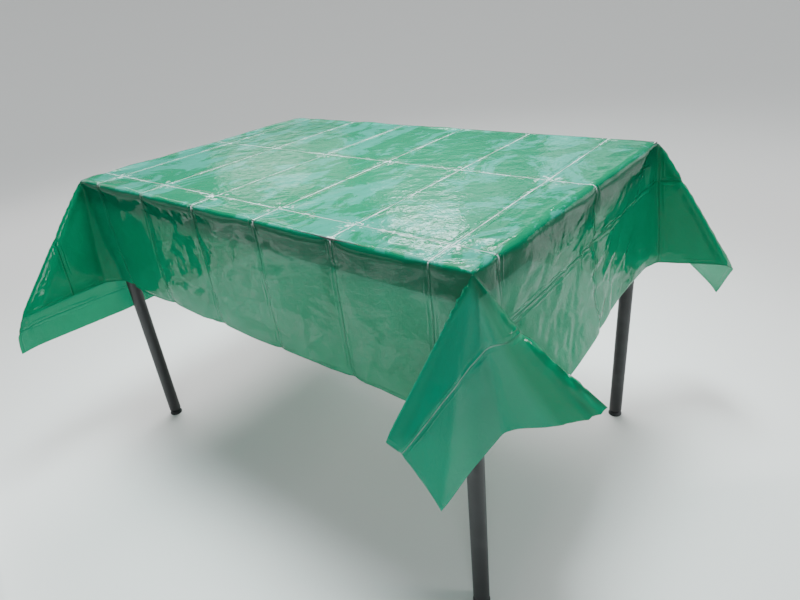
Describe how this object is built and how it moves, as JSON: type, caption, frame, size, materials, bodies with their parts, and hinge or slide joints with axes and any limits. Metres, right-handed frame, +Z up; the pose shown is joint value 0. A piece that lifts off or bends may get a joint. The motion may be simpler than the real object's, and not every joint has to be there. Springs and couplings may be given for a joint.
{
  "type": "tablecloth on a table",
  "caption": "Rectangular dining or craft table covered by a thin plastic film tablecloth that hangs down on all sides, with a bolted steel frame and levelling feet.",
  "frame": {"origin": "on the floor, midway between the four legs", "axes": "+X along the table's length to the right, +Y to the back long side, +Z up"},
  "size_m": [1.5226, 1.2938, 0.7423],
  "materials": {
    "film": "thin glossy green plastic film, slightly see-through, with packing folds",
    "laminate": "satin melamine laminate",
    "chipboard": "raw chipboard",
    "edging": "dark plastic edging",
    "frame_steel": "black powder coat",
    "plated_steel": "bright zinc plate",
    "foot_plastic": "black nylon"
  },
  "bodies": {
    "table": {"top_laminate": "laminate", "board_core": "chipboard", "backing_laminate": "laminate", "edge_strip_front": "edging", "edge_strip_back": "edging", "edge_strip_left": "edging", "edge_strip_right": "edging", "rail_front": "frame_steel", "rail_back": "frame_steel", "rail_left": "frame_steel", "rail_right": "frame_steel", "leg_front_left": "frame_steel", "leg_front_right": "frame_steel", "leg_back_right": "frame_steel", "leg_back_left": "frame_steel", "mounting_plate_front_left": "frame_steel", "mounting_plate_front_right": "frame_steel", "mounting_plate_back_right": "frame_steel", "mounting_plate_back_left": "frame_steel", "foot_insert_front_left": "foot_plastic", "foot_insert_front_right": "foot_plastic", "foot_insert_back_right": "foot_plastic", "foot_insert_back_left": "foot_plastic", "rail_end_nuts": "plated_steel", "rail_bolts": "plated_steel", "plate_screws": "plated_steel"},
    "cloth": {"tablecloth": "film"},
    "pad_front_left": {"foot_pad_front_left": "foot_plastic"},
    "pad_front_right": {"foot_pad_front_right": "foot_plastic"},
    "pad_back_right": {"foot_pad_back_right": "foot_plastic"},
    "pad_back_left": {"foot_pad_back_left": "foot_plastic"},
    "stud_front_left": {"foot_stud_front_left": "plated_steel"},
    "stud_front_right": {"foot_stud_front_right": "plated_steel"},
    "stud_back_right": {"foot_stud_back_right": "plated_steel"},
    "stud_back_left": {"foot_stud_back_left": "plated_steel"}
  },
  "joints": [
    {"name": "cloth_lift", "type": "slide", "parent": "table", "child": "cloth", "axis": [0, 0, 1], "range_m": [0, 0.5]},
    {"name": "pad_travel_front_left", "type": "slide", "parent": "table", "child": "pad_front_left", "axis": [0, 0, -1], "range_m": [0, 0.012]},
    {"name": "pad_travel_front_right", "type": "slide", "parent": "table", "child": "pad_front_right", "axis": [0, 0, -1], "range_m": [0, 0.012]},
    {"name": "pad_travel_back_right", "type": "slide", "parent": "table", "child": "pad_back_right", "axis": [0, 0, -1], "range_m": [0, 0.012]},
    {"name": "pad_travel_back_left", "type": "slide", "parent": "table", "child": "pad_back_left", "axis": [0, 0, -1], "range_m": [0, 0.012]},
    {"name": "stud_turn_front_left", "type": "hinge", "parent": "pad_front_left", "child": "stud_front_left", "pos_m": [-0.552, -0.3445, 0], "axis": [0, 0, 1], "range_deg": [0, 3456]},
    {"name": "stud_turn_front_right", "type": "hinge", "parent": "pad_front_right", "child": "stud_front_right", "pos_m": [0.552, -0.3445, 0], "axis": [0, 0, 1], "range_deg": [0, 3456]},
    {"name": "stud_turn_back_right", "type": "hinge", "parent": "pad_back_right", "child": "stud_back_right", "pos_m": [0.552, 0.3445, 0], "axis": [0, 0, 1], "range_deg": [0, 3456]},
    {"name": "stud_turn_back_left", "type": "hinge", "parent": "pad_back_left", "child": "stud_back_left", "pos_m": [-0.552, 0.3445, 0], "axis": [0, 0, 1], "range_deg": [0, 3456]}
  ],
  "couplings": [
    {"joint": "stud_turn_front_left", "follows": "pad_travel_front_left", "rad_per_m": 5026.5},
    {"joint": "stud_turn_front_right", "follows": "pad_travel_front_right", "rad_per_m": 5026.5},
    {"joint": "stud_turn_back_right", "follows": "pad_travel_back_right", "rad_per_m": 5026.5},
    {"joint": "stud_turn_back_left", "follows": "pad_travel_back_left", "rad_per_m": 5026.5}
  ]
}
